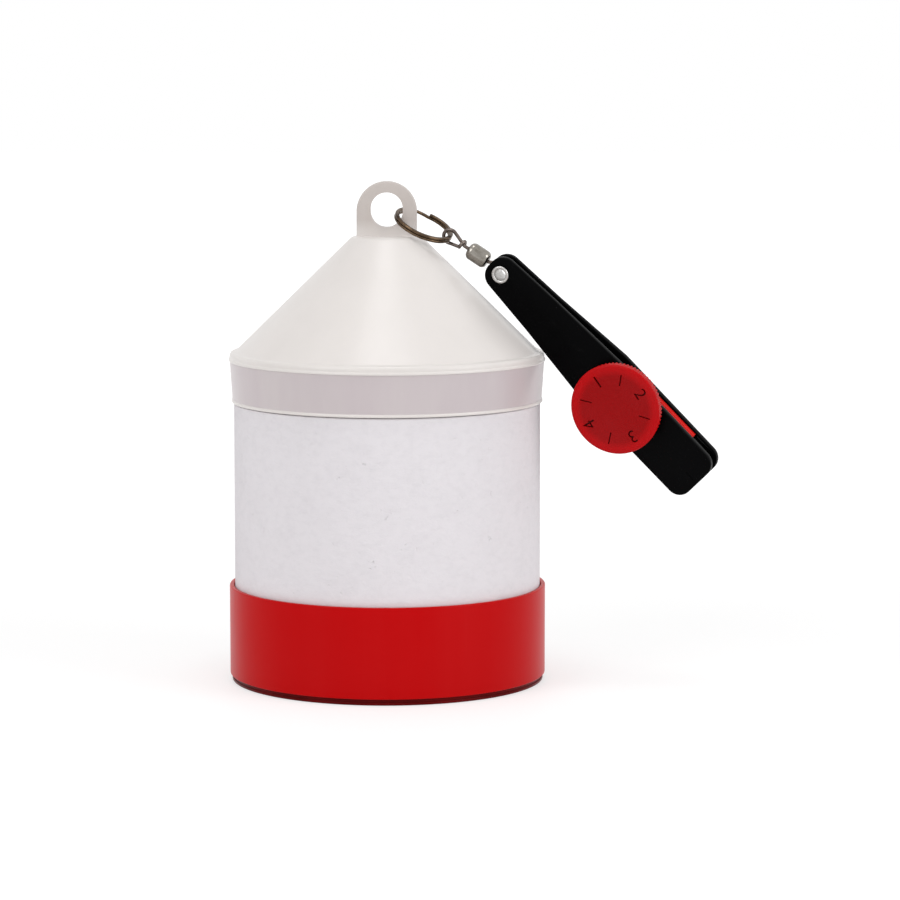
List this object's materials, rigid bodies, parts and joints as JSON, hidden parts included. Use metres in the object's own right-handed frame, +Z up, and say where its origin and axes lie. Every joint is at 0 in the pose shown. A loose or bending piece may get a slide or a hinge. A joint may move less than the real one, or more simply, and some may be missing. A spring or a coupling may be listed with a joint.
{
  "type": "tuna float",
  "caption": "Fishing float: foam cylinder between a red base cup and a white cone cap, with a split ring, barrel swivel and line release clip on its eye.",
  "frame": {"origin": "centre of the base cup's flat underside", "axes": "+Z up the float's axis to the lug's eye; the eye's hole runs along Y, and the clip hangs on the +X side with its knob towards -Y"},
  "size_m": [0.162, 0.1054, 0.166],
  "materials": {
    "red_plastic": "gloss",
    "white_foam": "matte",
    "white_plastic": "satin",
    "dark_steel": "satin",
    "swivel_steel": "polished",
    "black_nylon": "satin",
    "red_rubber": "matte",
    "bright_steel": "satin",
    "knob_red": "satin",
    "brass": "satin"
  },
  "bodies": {
    "float": {"cone_cap": "white_plastic", "foam_core": "white_foam", "base_cup": "red_plastic"},
    "ring": {"split_ring": "dark_steel"},
    "swivel_eye": {"swivel_upper_eye": "swivel_steel"},
    "barrel": {"swivel_barrel": "swivel_steel"},
    "lower_eye": {"swivel_lower_eye": "swivel_steel"},
    "clip_front": {"front_leg": "black_nylon", "eyelet": "bright_steel", "front_pad": "red_rubber", "tension_spring": "bright_steel"},
    "clip_rear": {"rear_leg": "black_nylon", "rear_pad": "red_rubber", "tension_screw": "bright_steel"},
    "knob": {"tension_knob": "knob_red", "knob_insert": "brass"}
  },
  "joints": [
    {"name": "ring_swing", "type": "hinge", "parent": "float", "child": "ring", "pos_m": [0, 0, 0.1566], "axis": [0, -1, 0], "range_deg": [0, 180]},
    {"name": "swivel_swing", "type": "hinge", "parent": "ring", "child": "swivel_eye", "pos_m": [0.02096, 0, 0.14771], "axis": [-0.1207, -0.9511, -0.2845], "range_deg": [0, 45]},
    {"name": "barrel_spin", "type": "hinge", "parent": "swivel_eye", "child": "barrel", "pos_m": [0.02717, -0.00164, 0.14366], "axis": [0.8183, -0.2154, -0.5329], "continuous": true},
    {"name": "eye_spin", "type": "hinge", "parent": "barrel", "child": "lower_eye", "pos_m": [0.03863, -0.00465, 0.1362], "axis": [0.8183, -0.2154, -0.5329], "continuous": true},
    {"name": "clip_swing", "type": "hinge", "parent": "lower_eye", "child": "clip_front", "pos_m": [0.03863, -0.00465, 0.1362], "axis": [-0.3549, -0.9186, -0.1736], "range_deg": [0, 45]},
    {"name": "jaw_open", "type": "hinge", "parent": "clip_front", "child": "clip_rear", "pos_m": [0.03863, -0.00465, 0.1362], "axis": [0.6319, -0.3726, 0.6796], "range_deg": [0, 1.5], "stiffness_Nm_per_rad": 8, "springref_deg": -1.15, "deforming": ["tension_spring"]},
    {"name": "knob_turn", "type": "hinge", "parent": "clip_rear", "child": "knob", "pos_m": [0.07628, -0.01884, 0.09341], "axis": [-0.3549, -0.9186, -0.1736], "range_deg": [-180, 180]}
  ]
}
